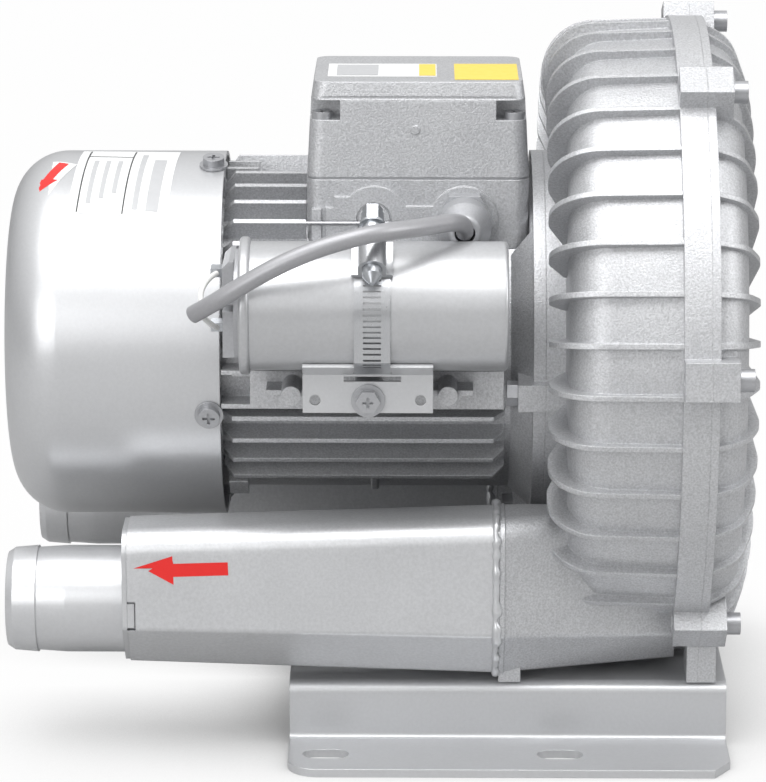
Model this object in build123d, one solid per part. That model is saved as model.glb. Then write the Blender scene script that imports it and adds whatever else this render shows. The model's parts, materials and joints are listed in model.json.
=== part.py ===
from build123d import *
import math
import os

# Side channel blower with single-phase motor, in millimetres.
# The pieces are drawn about the shaft: X runs along it towards the blower cover, the camera side
# is -Y, and save() lifts them so that the row's origin lies on the foot plane, midway between the slots.

# Shaft height and the stations along the shaft
shaft_height = 135.5
cowl_end_x = -160.5
cowl_rim_x = -80.2
barrel_x0 = -80.0
motor_face_x = 36.5
back_wall_x = 43.5
flange_x = 82.5
parting_x = 92.2
cover_face_x = 106.2

# Blower housing and cover
hub_r = 68.0
flange_r = 118.0
shell_r = 112.3
shell_draft = 2.0
wall = 4.0
shell_corner_r = 15.0
channel_r = 62.0
rib_count = 40
rib_first_angle = 2.1
rib_t = 2.0
rib_proud = 3.4
rib_reach = 7.0
rib_corner_r = 19.0
cover_flange_t = 3.0
cover_rib_reach = 5.0
cover_boss_r = 40.0
flat_bottom = 108.4
lug_first_angle = -47.8
lug_pitch = 53.4
lug_count = 6
lug_w = 13.8
lug_r = 125.0
lug_x1 = 101.5
lug_bolt_r = 119.0
stripper_half_angle = 19.0

# Impeller, shaft and bearings
impeller_r = 96.0
impeller_gap = 0.3
impeller_w = 34.0
vane_root_r = 67.0
vane_count = 36
vane_t = 2.2
rotor_disc_t = 5.0
shaft_seat_r = 7.5
bearing_bore_r = 8.5
bearing_r = 20.0
bearing_w = 12.0
ball_r = 3.37
ball_count = 8
ball_gap = 0.03
front_bearing_x = 37.0
rear_bearing_x = -99.0
running_gap = 0.05
seal_r = 15.0
seal_w = 6.0
key_w = 5.0
key_depth = 2.5

# Motor
barrel_r = 57.0
barrel_bore_r = 52.0
fin_r = 66.0
fin_t = 1.9
fin_x1 = 22.0
fin_pitch = 8.4
lower_fin_pitch = 8.2
stack_x0 = -47.0
stack_length = 62.0
air_gap = 0.3
rotor_r = 27.5
rotor_seat_r = 10.0
rail_y = 68.0
rail_z0 = -12.0
rail_z1 = 2.0
rail_x0 = -69.4
boss_xs = (-54.2, 1.3)
boss_y = 85.5
boss_z = -2.9
boss_r = 3.6

# Fan and cowl
cowl_r = 67.5
cowl_t = 1.5
cowl_corner_r = 20.0
fan_r = 58.0
fan_hub_r = 16.0
fan_x0 = -137.0
fan_w = 20.0
fan_blade_count = 8

# Terminal box and cable gland
box_x0 = -49.5
box_x1 = 30.5
box_y0 = -40.0
box_y1 = 20.0
box_split_z = 66.0
box_top_z = 101.2
box_wall = 3.0
box_draft = 1.4
gland_x = 7.2
gland_z = 51.4
knockout_x = -25.3
pad_r = 12.3
gland_r = 7.6
gland_out = 24.0

# Capacitor with its clamp and bracket
can_y = -85.5
can_z = 30.0
can_r = 22.75
can_x0 = -68.1
can_x1 = 22.2
rim_w = 3.8
rim_r = 24.3
cap_w = 5.7
cap_r = 20.0
band_x = -25.3
band_w = 12.7
band_t = 0.7
screw_angle = 48.0
bracket_x0 = -49.8
bracket_x1 = -4.0
bracket_y = -96.0
bracket_t = 1.5
bracket_z0 = -6.2
bracket_screw_x = -26.8
bracket_screw_z = -1.6
lip_angle = -54.0
pedestal_r = 5.0

# Cord and its two leads
cord_d = 6.3
lead_d = 2.0
fit_gap = 0.1

# Ports, silencers and hose spigots
port_y = 69.0
port_z = -82.75
left_section = (24.0, -24.0, 31.0, -4.3, -21.3)
right_section = (25.0, -25.0, 35.6, -6.3, -25.4)
duct_end_section = (5.0, -25.0, 34.0, -11.5, -23.5)
silencer_x0 = -112.8
silencer_x1 = 20.0
sheet_t = 2.0
duct_wall = 3.6
duct_end_x = 84.0
spigot_x0 = -157.0
spigot_r = 19.3
spigot_bore_r = 16.3
barb_xs = (-146.1, -135.5)
barb_step = 0.7
plate_rim = 1.8
foam_r = 19.0

# Base plate
base_x0 = -55.5
base_x1 = 102.5
base_t = 3.0
base_top_z = -111.5
base_half_y = 112.5
web_y = 78.0
slot_pitch_x = 84.0
slot_pitch_y = 192.0
slot_w = 10.0
slot_length = 16.5

RIGHT_ANGLE = 90


def outline(corners, plane=Plane.XZ):
    """A closed face from corners (a, b, radius); a radius of 0 leaves a corner sharp."""
    count = len(corners)
    edges = []
    ends = []
    for index, (a, b, radius) in enumerate(corners):
        corner = Vector(a, b)
        before = Vector(*corners[index - 1][:2])
        after = Vector(*corners[(index + 1) % count][:2])
        back = (before - corner).normalized()
        ahead = (after - corner).normalized()
        half = math.radians(back.get_angle(ahead)) / 2
        setback = radius / math.tan(half)
        start = corner + back * setback
        finish = corner + ahead * setback
        if radius > 0:
            middle = corner + (back + ahead).normalized() * (radius / math.sin(half) - radius)
            edges.append(ThreePointArc(start, middle, finish))
        ends.append((start, finish))
    for index in range(count):
        here = ends[index][1]
        there = ends[(index + 1) % count][0]
        if (there - here).length > 0.001:
            edges.append(Line(here, there))
    return plane * make_face(edges)


def turned(corners, arc=360.0, start=0.0):
    """A solid of revolution about the shaft from corners (x, r, radius)."""
    return revolve(Rot(X=start) * outline(corners), axis=Axis.X, revolution_arc=arc)


def rod(x0, x1, radius, y=0.0, z=0.0):
    """A round bar along X."""
    bar = Cylinder(radius, x1 - x0, align=(Align.CENTER, Align.CENTER, Align.MIN))
    return Pos(x0, y, z) * Rot(Y=90) * bar


def ring(x0, x1, outer, inner, y=0.0, z=0.0):
    """A flat ring along X."""
    return rod(x0, x1, outer, y, z) - rod(x0 - 1, x1 + 1, inner, y, z)


def pin_y(y0, y1, radius, x, z):
    """A round bar along Y."""
    bar = Cylinder(radius, y1 - y0, align=(Align.CENTER, Align.CENTER, Align.MIN))
    return Pos(x, y0, z) * Rot(X=-90) * bar


def pin_z(z0, z1, radius, x, y):
    """A round bar along Z."""
    bar = Cylinder(radius, z1 - z0, align=(Align.CENTER, Align.CENTER, Align.MIN))
    return Pos(x, y, z0) * bar


def block(x0, x1, y0, y1, z0, z1):
    """A plain block between two corners."""
    size = Box(x1 - x0, y1 - y0, z1 - z0, align=(Align.MIN, Align.MIN, Align.MIN))
    return Pos(x0, y0, z0) * size


def at_angle(angle):
    """Turns a piece drawn at the top to an angle above the camera-side horizontal."""
    return Rot(X=RIGHT_ANGLE - angle)


def hexagon_x(x0, x1, across, y, z):
    """A hexagonal prism along X."""
    prism = extrude(RegularPolygon(across / math.sqrt(3), 6), x1 - x0)
    return Pos(x0, y, z) * Rot(Y=90) * prism


def save(name, *solids):
    """Writes one node, lifted from the shaft's frame to the foot plane."""
    lifted = [Pos(0, 0, shaft_height) * solid for solid in solids]
    whole = lifted[0] if len(lifted) == 1 else Compound(children=lifted)
    whole.label = name
    export_step(whole, f"parts/{name}.step")


# Blower housing, motor side

rib_angles = [rib_first_angle + index * 360 / rib_count for index in range(rib_count)]
lug_angles = [lug_first_angle + index * lug_pitch for index in range(lug_count)]
chamber_x0 = parting_x - impeller_gap - impeller_w - impeller_gap
disc_x0 = chamber_x0 - 6.1
channel_x0 = back_wall_x + wall
channel_top_r = shell_r - wall
channel_corner_r = shell_corner_r - wall


def near_bottom(angle, span):
    """True when an angle lies within span degrees of straight down."""
    return abs((angle + RIGHT_ANGLE + 180) % 360 - 180) < span


def housing_rib():
    """One rib: it follows the shell and stands out behind the back wall."""
    crest = shell_r + rib_proud
    tip_x = back_wall_x - rib_reach
    inner = shell_r - 2.5
    face = outline([
        (flange_x + 1, inner, 0), (flange_x + 1, crest + shell_draft - 0.6, 0),
        (tip_x, crest, rib_corner_r), (tip_x, crest - rib_corner_r - 5, 12),
        (back_wall_x - 1, channel_r + 14, 0), (back_wall_x + 2, channel_r + 14, 0),
        (back_wall_x + 2, shell_r - shell_corner_r, 0), (back_wall_x + 7, inner - 5, 0),
        (back_wall_x + shell_corner_r, inner, 0),
    ])
    return extrude(face, rib_t / 2, both=True)


def cover_rib():
    """One rib of the cover, running from the flange in to the centre boss."""
    crest = flange_r - 1.5
    tip_x = cover_face_x + cover_rib_reach
    face = outline([
        (parting_x + cover_flange_t - 1, crest - 6, 0), (parting_x + cover_flange_t - 1, crest, 0),
        (tip_x - 6, crest - 6, 15), (tip_x, flange_r - 24, 25),
        (cover_face_x + 1.2, cover_boss_r, 0), (cover_face_x - 2, cover_boss_r, 0),
        (cover_face_x - 2, shell_r - 16, 0), (cover_face_x - 9, shell_r - 5, 0),
    ])
    return extrude(face, rib_t / 2, both=True)


def lug(x0, x1):
    """A bolt lug on the flange's rim, drawn at the top."""
    return block(x0, x1, -lug_w / 2, lug_w / 2, shell_r - 5, lug_r)


def port_section(outer, inner, top, fold, bottom, inset):
    """Section of a port duct about the port centre: sloped roof, flat side, folded-in foot."""
    width = outer - inner
    return [
        (outer - inset, top - inset, 8.5 - inset / 2), (outer - inset, fold, 3.0),
        (outer - width * 0.34, bottom + inset, 3.0), (inner + 9, bottom + inset, 4.0),
        (inner + inset, bottom + 12, 4.0), (inner + inset, top - 17 - inset / 2, 4.0),
        (outer - width * 0.54 + inset / 3, top - inset, 8.0 - inset / 2),
    ]


def port_face(section, inset, x, side):
    """The duct section as a face at x; side is -1 for the camera side and 1 for the far side."""
    corners = port_section(*section, inset)
    plane = Plane(origin=(x, side * port_y, port_z), x_dir=(0, side, 0), z_dir=(side, 0, 0))
    return outline(corners, plane)


def straight_duct(x0, x1, section, inset, side):
    """A straight block of the port section."""
    face = port_face(section, inset, x0, side)
    return extrude(face, amount=x1 - x0, dir=(1, 0, 0))


def narrowing_duct(x1, inset, side):
    """The cast duct, which narrows from the silencer joint to the channel."""
    return loft([port_face(right_section, inset, silencer_x1, side), port_face(duct_end_section, inset, x1, side)])


def blower_housing():
    shell = turned([
        (motor_face_x, 0, 0), (motor_face_x, hub_r, 0), (back_wall_x, hub_r, 0),
        (back_wall_x, shell_r, shell_corner_r), (flange_x, shell_r + shell_draft, 0),
        (flange_x, flange_r, 0), (parting_x, flange_r, 0), (parting_x, 0, 0),
    ])
    shell = shell - rod(motor_face_x - 1, disc_x0, hub_r - 10)
    ribs = [at_angle(a) * housing_rib() for a in rib_angles if not near_bottom(a, 25)]
    lugs = [at_angle(a) * lug(flange_x, parting_x) for a in lug_angles]
    motor_lugs = [at_angle(a) * motor_lug(motor_face_x, back_wall_x + 1) for a in motor_bolt_angles]
    ducts = [narrowing_duct(duct_end_x, 0, side) for side in (-1, 1)]
    collars = [straight_duct(silencer_x1, silencer_x1 + 1.8, right_section, -0.4, side) for side in (-1, 1)]
    feet = [foot(flange_x + 5.5, parting_x, side) for side in (-1, 1)]
    feet += [foot(silencer_x1, silencer_x1 + 8, side) for side in (-1, 1)]
    body = shell + ribs + lugs + motor_lugs + ducts + collars + feet
    boss = rod(front_bearing_x - 4, disc_x0 + 1, bearing_r + 6)
    body = body + boss
    channel = turned(
        [(channel_x0, channel_r, 8), (channel_x0, channel_top_r, channel_corner_r),
         (parting_x + 1, channel_top_r + 1.5, 0), (parting_x + 1, channel_r, 0)],
        360 - 2 * stripper_half_angle, 180 + stripper_half_angle)
    chamber = rod(chamber_x0, parting_x + 1, impeller_r + 0.5)
    passages = [narrowing_duct(duct_end_x - wall, duct_wall, side) for side in (-1, 1)]
    clearance = block(motor_face_x - 1, parting_x + 1, -44, 44, -130, -flat_bottom)
    body = body - [channel, chamber, clearance] - passages
    body = body - rod(front_bearing_x - 5, front_bearing_x + bearing_w, bearing_r)
    body = body - rod(front_bearing_x, chamber_x0 + 1, seal_r - 1)
    body = body - rod(chamber_x0 - seal_w - 0.3, chamber_x0 + 1, seal_r)
    holes = [at_angle(a) * rod(flange_x - 1, parting_x + 1, 2.6, 0, lug_bolt_r) for a in lug_angles]
    holes += [at_angle(a) * rod(motor_face_x - 1, back_wall_x, 2.6, 0, motor_bolt_r)
              for a in motor_bolt_angles]
    holes += [pin_z(base_top_z - 1, base_top_z + 9, 2.6, x, y) for x, y in foot_screws]
    return body - holes


def foot(x0, x1, side):
    """A foot that stands on the base plate beneath a duct."""
    low = min(side * (web_y - 1), side * (web_y - 18))
    return block(x0, x1, low, low + 17, base_top_z, base_top_z + 14)


foot_screws = [(x, side * (web_y - 9.5)) for side in (-1, 1) for x in (silencer_x1 + 4, parting_x)]
motor_bolt_angles = (-5.5, 139.0, 185.5, 270.0)
motor_bolt_r = 67.0


def motor_lug(x0, x1):
    """A lug for a motor bolt, drawn at the top."""
    return block(x0, x1, -5, 5, barrel_r, 73.0)


def blower_cover():
    inside_x = cover_face_x - wall
    shell = turned([
        (parting_x, 0, 0), (parting_x, flange_r, 0), (parting_x + cover_flange_t, flange_r, 0),
        (parting_x + cover_flange_t, shell_r, 0), (cover_face_x, shell_r - 1, 13),
        (cover_face_x, cover_boss_r + 4, 3), (cover_face_x - 4, cover_boss_r + 2, 0),
        (cover_face_x - 4, 24, 2), (cover_face_x + 1, 22, 2), (cover_face_x + 1, 0, 0),
    ])
    ribs = [at_angle(a) * cover_rib() for a in rib_angles if not near_bottom(a, 25)]
    lugs = [at_angle(a) * lug(parting_x, lug_x1) for a in lug_angles]
    feet = [foot(parting_x, parting_x + 6.4, side) for side in (-1, 1)]
    feet += [block(parting_x, parting_x + 6.4, y, y + 17, base_top_z, port_z - 8)
             for y in (-web_y + 1, web_y - 18)]
    body = shell + ribs + lugs + feet
    channel = turned(
        [(parting_x - 1, channel_r, 0), (parting_x - 1, channel_top_r, 0),
         (inside_x, channel_top_r - 1, 9), (inside_x, channel_r, 8)],
        360 - 2 * stripper_half_angle, 180 + stripper_half_angle)
    clearance = block(parting_x - 1, cover_face_x + 9, -44, 44, -130, -flat_bottom)
    holes = [at_angle(a) * rod(parting_x - 1, lug_x1 + 1, 2.6, 0, lug_bolt_r) for a in lug_angles]
    holes += [pin_z(base_top_z - 1, base_top_z + 9, 2.6, x, y) for x, y in foot_screws]
    return body - [channel, clearance] - holes


def cover_bolts():
    head = rod(lug_x1, lug_x1 + 5.2, 4.0) - hexagon_x(lug_x1 + 2.4, lug_x1 + 6, 4.0, 0, 0)
    bolt = head + rod(flange_x + 2, lug_x1, 2.5)
    return [at_angle(a) * Pos(0, 0, lug_bolt_r) * bolt for a in lug_angles]


# Impeller

impeller_x0 = chamber_x0 + impeller_gap
impeller_x1 = impeller_x0 + impeller_w
impeller_mid_x = (impeller_x0 + impeller_x1) / 2
hub_end_x = impeller_x1 - 9


def vane():
    """A radial vane across both sides of the impeller, its root in the bowl of the ring."""
    face = outline([
        (impeller_x0, vane_root_r - 1, 0), (impeller_x0, impeller_r, 0),
        (impeller_x1, impeller_r, 0), (impeller_x1, vane_root_r - 1, 0),
    ])
    return extrude(face, vane_t / 2, both=True)


def impeller():
    half = rotor_disc_t / 2
    land_r = channel_r - 4
    body = turned([
        (impeller_x0, shaft_seat_r + 6, 2), (impeller_x0 + 8, shaft_seat_r + 8, 6),
        (impeller_mid_x - 5, land_r - 4, 4), (impeller_x0, land_r - 3, 0),
        (impeller_x0, vane_root_r, 0), (impeller_mid_x - half, vane_root_r + 10, 12),
        (impeller_mid_x - half, impeller_r, 0), (impeller_mid_x + half, impeller_r, 0),
        (impeller_mid_x + half, vane_root_r + 10, 12), (impeller_x1, vane_root_r, 0),
        (impeller_x1, land_r - 3, 0), (impeller_mid_x + 5, land_r - 4, 4),
        (hub_end_x - 2, shaft_seat_r + 10, 3), (hub_end_x, shaft_seat_r + 8, 0), (hub_end_x, shaft_seat_r, 0),
        (impeller_x0, shaft_seat_r, 0),
    ])
    vanes = [Rot(X=index * 360 / vane_count) * vane() for index in range(vane_count)]
    key_slot = block(impeller_x0 - 1, impeller_x1, -key_w / 2, key_w / 2, 0, shaft_seat_r + key_depth)
    bore = rod(impeller_x0 - 1, impeller_x1 + 1, shaft_seat_r)
    return (body + vanes) - [key_slot, bore]


def impeller_key():
    return block(impeller_x0 + 2, hub_end_x - 2, -key_w / 2, key_w / 2,
                 shaft_seat_r - key_depth, shaft_seat_r + key_depth)


def impeller_fixings():
    seat_x = hub_end_x + 2.5
    washer = ring(hub_end_x, seat_x, 12.0, 4.2)
    bolt = rod(hub_end_x - 18, seat_x, 4.0) + hexagon_x(seat_x, seat_x + 5.3, 13, 0, 0)
    return washer, bolt


# Shaft, rotor and bearings

def motor_shaft():
    steps = [
        (fan_x0 - 6, 7.0), (rear_bearing_x - 1, bearing_bore_r), (rear_bearing_x + bearing_w, rotor_seat_r),
        (front_bearing_x, bearing_bore_r), (impeller_x0 - shim_t, shaft_seat_r), (hub_end_x - 1.0, 0),
    ]
    shaft = None
    for (x0, radius), (x1, _) in zip(steps, steps[1:]):
        piece = rod(x0, x1, radius)
        shaft = piece if shaft is None else shaft + piece
    keyway = block(impeller_x0 + 2, hub_end_x - 2, -key_w / 2, key_w / 2, shaft_seat_r - key_depth, 12)
    tapped = rod(hub_end_x - 20, hub_end_x + 1, 4.0)
    groove = ring(fan_x0 - 1.2, fan_x0, 8.0, 6.4)
    return shaft - [keyway, tapped, groove]


shim_t = 0.5
seal_bore_r = bearing_bore_r


def impeller_shim():
    return ring(impeller_x0 - shim_t, impeller_x0, 12.0, shaft_seat_r)


def shaft_seal():
    lip = seal_bore_r + running_gap
    x0 = chamber_x0 - seal_w - 0.3
    return turned([
        (x0, seal_r, 0), (x0 + seal_w, seal_r, 0), (x0 + seal_w, lip + 2.5, 0),
        (x0 + seal_w - 1.5, lip, 0), (x0 + 1.5, lip, 0), (x0 + 1.5, seal_r - 2.5, 0), (x0, seal_r - 2.5, 0),
    ])


race_r = (bearing_bore_r + bearing_r) / 2
inner_land_r = race_r - ball_r * 0.62
outer_land_r = race_r + ball_r * 0.62


def race_groove(x0):
    """The ball track that both rings share, as a ring of round section."""
    track = Plane.XZ * Pos(x0 + bearing_w / 2, race_r) * Circle(ball_r + ball_gap)
    return revolve(track, axis=Axis.X)


def outer_ring(x0):
    return ring(x0, x0 + bearing_w, bearing_r, outer_land_r) - race_groove(x0)


def inner_ring(x0):
    return ring(x0, x0 + bearing_w, inner_land_r, bearing_bore_r) - race_groove(x0)


def balls(x0):
    centre = Pos(x0 + bearing_w / 2, 0, race_r)
    return [Rot(X=index * 360 / ball_count) * centre * Sphere(ball_r) for index in range(ball_count)]


def cage(x0):
    """A ribbon ring with one pocket for each ball."""
    mid = x0 + bearing_w / 2
    body = ring(mid - 3.9, mid + 3.9, race_r + 1.1, race_r - 1.1)
    pockets = [
        Rot(X=index * 360 / ball_count) * pin_z(race_r - 4, race_r + 4, ball_r + 0.15, mid, 0)
        for index in range(ball_count)]
    return body - pockets


def rotor_core():
    return ring(stack_x0, stack_x0 + stack_length, rotor_r, rotor_seat_r)


def rotor_end_rings():
    """Cast end rings of the cage, each with stirring paddles."""
    rings = []
    for x0, x1 in ((stack_x0 - 7, stack_x0), (stack_x0 + stack_length, stack_x0 + stack_length + 7)):
        body = ring(x0, x1, rotor_r - 1, rotor_r - 9)
        reach0 = x0 - 6 if x0 < stack_x0 else x1 - 1
        paddles = [
            Rot(X=index * 45) * block(reach0, reach0 + 7, -1, 1, rotor_r - 8, rotor_r - 2)
            for index in range(8)]
        rings.append(body + paddles)
    return rings


def stator_core():
    """Lamination stack with open slots for the winding."""
    bore = rotor_r + air_gap
    core = ring(stack_x0, stack_x0 + stack_length, barrel_bore_r, bore)
    slots = [
        Rot(X=index * 15) * (
            block(stack_x0 - 1, stack_x0 + stack_length + 1, -slot_half, slot_half, bore + 1.2, bore + 13)
            + block(stack_x0 - 1, stack_x0 + stack_length + 1, -0.9, 0.9, bore - 1, bore + 2))
        for index in range(24)]
    return core - slots


slot_half = 1.9


def stator_windings():
    """Two bundles of end turns, held by the stack's faces."""
    inner = rotor_r + 3
    ends = []
    for x0, x1 in ((stack_x0 - 17, stack_x0), (stack_x0 + stack_length, stack_x0 + stack_length + 14)):
        flat, round_end = (x1, x0) if x1 == stack_x0 else (x0, x1)
        ends.append(turned([
            (flat, inner, 0), (round_end, inner + 2, 5), (round_end, barrel_bore_r - 3, 7),
            (flat, barrel_bore_r - 3, 0)]))
    return ends


# Motor housing and rear end shield

upper_fins = [75.9 - fin_pitch * index for index in range(10)]
stub_fin_angle = 75.9 + fin_pitch
lower_fins = [-14.8 - lower_fin_pitch * index for index in range(4)]


def fin():
    """A cooling fin drawn at the top, its ends cut back at a slant."""
    face = outline([
        (barrel_x0 + 0.3, barrel_r - 1, 0), (barrel_x0 + 0.3, fin_r - 5, 0), (barrel_x0 + 4, fin_r, 0),
        (fin_x1 - 4, fin_r, 0), (fin_x1, fin_r - 5, 0), (fin_x1, barrel_r - 1, 0),
    ])
    return extrude(face, fin_t / 2, both=True)


def side_rail(side):
    """The flat rail with a pocket at its cowl end, its stand-off bosses and the capacitor's pedestal."""
    def slab(x0, x1, z0, z1, reach=rail_y):
        low_y, high_y = sorted((side * (barrel_r - 8), side * reach))
        return block(x0, x1, low_y, high_y, z0, z1)
    parts = [slab(rail_x0, motor_face_x - 15, rail_z0, rail_z1)]
    parts += [slab(barrel_x0 + 0.3, rail_x0 + 1, z, z + 1.6) for z in (rail_z0, rail_z1 - 1.6)]
    if side > 0:
        return parts
    for x in boss_xs:
        parts.append(pin_y(-boss_y, -rail_y + 1, boss_r, x, boss_z))
        parts.append(block(x - 9, x + 9, -boss_y + 5, -rail_y + 1, boss_z - 1, boss_z + 1))
    parts.append(pin_y(bracket_y + bracket_t, -rail_y + 1, pedestal_r, bracket_screw_x, bracket_screw_z))
    return parts


def motor_housing():
    barrel = rod(barrel_x0, motor_face_x, barrel_r)
    flange = rod(motor_face_x - 4.5, motor_face_x, hub_r)
    neck = turned([
        (fin_x1 + 1, barrel_r - 1, 0), (motor_face_x - 4.5, hub_r - 4, 0),
        (motor_face_x - 4.5, barrel_r - 1, 0)])
    angles = upper_fins + lower_fins
    fins = [at_angle(a) * fin() for a in angles]
    fins += [at_angle(180 - a) * fin() for a in angles]
    lugs = [at_angle(a) * motor_lug(motor_face_x - 10, motor_face_x) for a in motor_bolt_angles]
    stub = block(barrel_x0 + 0.3, barrel_x0 + 12, -fin_t / 2, fin_t / 2, barrel_r - 1, fin_r - 2)
    fins += [at_angle(a) * stub for a in (stub_fin_angle, 180 - stub_fin_angle)]
    pads = [at_angle(a) * block(barrel_x0 + 2, barrel_x0 + 9, -4.5, 4.5, barrel_r - 1, fin_r - 0.5)
            for a in (-47, 227)]
    pads += [turned([(drain_x - 1.5, barrel_r - 1, 0), (drain_x - 1.5, barrel_r + 3, 1),
                     (drain_x + 1.5, barrel_r + 3, 1), (drain_x + 1.5, barrel_r - 1, 0)], 28, start)
             for start in (124, 208)]
    body = barrel + flange + neck + fins + lugs + pads + side_rail(-1) + side_rail(1)
    body = body - rod(barrel_x0 - 1, motor_face_x + 1, barrel_bore_r)
    box_room = block(box_x0 - 0.3, box_x1 + 0.3, box_y0 - 1.8, box_y1 + 0.3, 0, 120)
    gland_room = pin_y(box_y0 - gland_out - 8, box_y0 + box_wall, 12.5, gland_x, gland_z)
    box_room = (box_room + gland_room) - rod(box_x0 - 2, box_x1 + 2, barrel_r)
    body = body - box_room
    body = body - pin_z(40, 70, 6.0, -10, -10)
    body = body - pin_y(bracket_y, -rail_y + 4, 2.1, bracket_screw_x, bracket_screw_z)
    holes = [at_angle(a) * rod(motor_face_x - 11, motor_face_x + 1, 3.1, 0, motor_bolt_r)
             for a in motor_bolt_angles]
    holes += [at_angle(a) * rod(barrel_x0 - 1, barrel_x0 + 9, 2.1, 0, rear_screw_r)
              for a in rear_screw_angles]
    return body - holes


rear_screw_angles = (45, 135, 225, 315)
rear_screw_r = 54.5
drain_x = -25.0
rear_flange_t = 12.0
cowl_screw_angles = (-12.6, 77.4, 167.4, 257.4)
cowl_screw_x = cowl_rim_x - 4.0


def motor_bolts():
    bolt = rod(motor_face_x - 10, back_wall_x - 0.5, 2.5)
    bolt = bolt + hexagon_x(motor_face_x - 14, motor_face_x - 10, 8, 0, 0)
    return [at_angle(a) * Pos(0, 0, motor_bolt_r) * bolt for a in motor_bolt_angles]


def rear_end_shield():
    x1 = barrel_x0
    x0 = x1 - rear_flange_t
    boss_x0 = rear_bearing_x - washer_t - 3
    body = turned([
        (boss_x0, 0, 0), (boss_x0, bearing_r + 5, 2), (x0 - 2, bearing_r + 7, 4), (x0, barrel_r - 5, 3),
        (x0, barrel_r, 0), (x1, barrel_r, 0), (x1, barrel_bore_r - 0.1, 0), (x1 + 3, barrel_bore_r - 0.1, 0),
        (x1 + 3, barrel_bore_r - 5, 0), (x1 - 4, bearing_r + 7, 3), (rear_bearing_x + bearing_w + 2, bearing_r + 4, 0),
        (rear_bearing_x + bearing_w + 2, 0, 0)])
    lugs = [at_angle(a) * block(x0 + 2, x1, -5.5, 5.5, barrel_r - 3, cowl_r - cowl_t)
            for a in cowl_screw_angles]
    body = body + lugs
    body = body & rod(boss_x0 - 1, x1 + 4, cowl_r - cowl_t)
    body = body - rod(boss_x0 + 3, x1 + 1, bearing_r)
    body = body - rod(boss_x0 - 1, x1 + 1, bearing_bore_r + 1)
    holes = [at_angle(a) * rod(x0 - 1, x1 + 4, 2.1, 0, rear_screw_r) for a in rear_screw_angles]
    holes += [at_angle(a) * pin_z(barrel_r - 4, cowl_r, 2.1, cowl_screw_x, 0) for a in cowl_screw_angles]
    return body - holes


def rear_shield_screws():
    x0 = barrel_x0 - rear_flange_t
    screw = rod(x0, barrel_x0 + 8, 2.0) + rod(x0 - 2.6, x0, 2.7)
    return [at_angle(a) * Pos(0, 0, rear_screw_r) * screw for a in rear_screw_angles]


washer_t = 1.2


def wave_washer():
    return ring(rear_bearing_x - washer_t, rear_bearing_x, bearing_r - 0.3, bearing_r - 4)


# Fan and its cowl

def cooling_fan():
    x1 = fan_x0 + fan_w
    hub = ring(fan_x0, x1, fan_hub_r, 7.0)
    disc = ring(x1 - 4, x1 - 2, fan_r - 6, fan_hub_r - 1)
    face = outline([(fan_x0 + 2, fan_hub_r - 2, 0), (fan_x0, fan_r, 4), (x1 - 2, fan_r, 0),
                    (x1 - 2, fan_hub_r - 2, 0)])
    blade = extrude(face, 1.1, both=True)
    blades = [Rot(X=index * 360 / fan_blade_count) * blade for index in range(fan_blade_count)]
    return hub + disc + blades


def fan_circlip():
    clip = ring(fan_x0 - 1.2, fan_x0, 9.5, 6.4)
    return clip - block(fan_x0 - 3, fan_x0 + 1, -3.0, 3.0, 0, 12)


def fan_cowl():
    bulge = 2.2
    outer = [
        (cowl_end_x, 0, 0), (cowl_end_x + bulge, cowl_r, cowl_corner_r), (cowl_rim_x, cowl_r, 0),
        (cowl_rim_x, 0, 0)]
    inner = [
        (cowl_end_x + cowl_t, 0, 0), (cowl_end_x + bulge + cowl_t, cowl_r - cowl_t, cowl_corner_r - cowl_t),
        (cowl_rim_x + 1, cowl_r - cowl_t, 0), (cowl_rim_x + 1, 0, 0)]
    body = turned(outer) - turned(inner)
    slots = []
    for row, (radius, count) in enumerate(((12, 6), (22, 12), (32, 18), (41, 24))):
        for index in range(count):
            hole = rod(cowl_end_x - 1, cowl_end_x + 5, 3.1, 0, radius)
            slots.append(Rot(X=(index + row / 2) * 360 / count) * hole)
    holes = [at_angle(a) * pin_z(cowl_r - 4, cowl_r + 2, 2.2, cowl_screw_x, 0) for a in cowl_screw_angles]
    return body - slots - holes


def cowl_screws():
    head = pin_z(cowl_r, cowl_r + 0.8, 5.2, 0, 0) + pin_z(cowl_r + 0.8, cowl_r + 3.6, 3.9, 0, 0)
    screw = head + pin_z(barrel_r - 1, cowl_r, 2.0, 0, 0)
    cross = block(-2.2, 2.2, -0.5, 0.5, cowl_r + 2.2, cowl_r + 4)
    screw = screw - [cross, Rot(Z=90) * cross]
    return [at_angle(a) * Pos(cowl_screw_x, 0, 0) * screw for a in cowl_screw_angles]


# Terminal box

def box_face(z, inset):
    """The box's plan outline at height z, pulled in by inset."""
    corner = 5.0
    return outline([
        (box_x0 + inset, box_y0 + inset, corner), (box_x1 - inset, box_y0 + inset, corner),
        (box_x1 - inset, box_y1 - inset, corner), (box_x0 + inset, box_y1 - inset, corner),
    ], Plane.XY.offset(z))


def entry_pads():
    """The lobed flat pad that stands round both cable entries."""
    pads = [pin_y(box_y0 - 1.0, box_y0 + 1, pad_r, x, gland_z) for x in (knockout_x, gland_x)]
    bridge = block(knockout_x, gland_x, box_y0 - 1.0, box_y0 + 1, gland_z - pad_r, gland_z + 5.0)
    ears = [block(knockout_x - reach, knockout_x, box_y0 - 1.0, box_y0 + 1, gland_z - 8, gland_z + height)
            for reach, height in ((14.5, 8.5), (17.5, 4.5))]
    ears.append(block(knockout_x - 22.5, knockout_x - 19.0, box_y0 - 1.4, box_y0 + 1, gland_z - 8, gland_z + 4))
    return pads + [bridge] + ears


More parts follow.
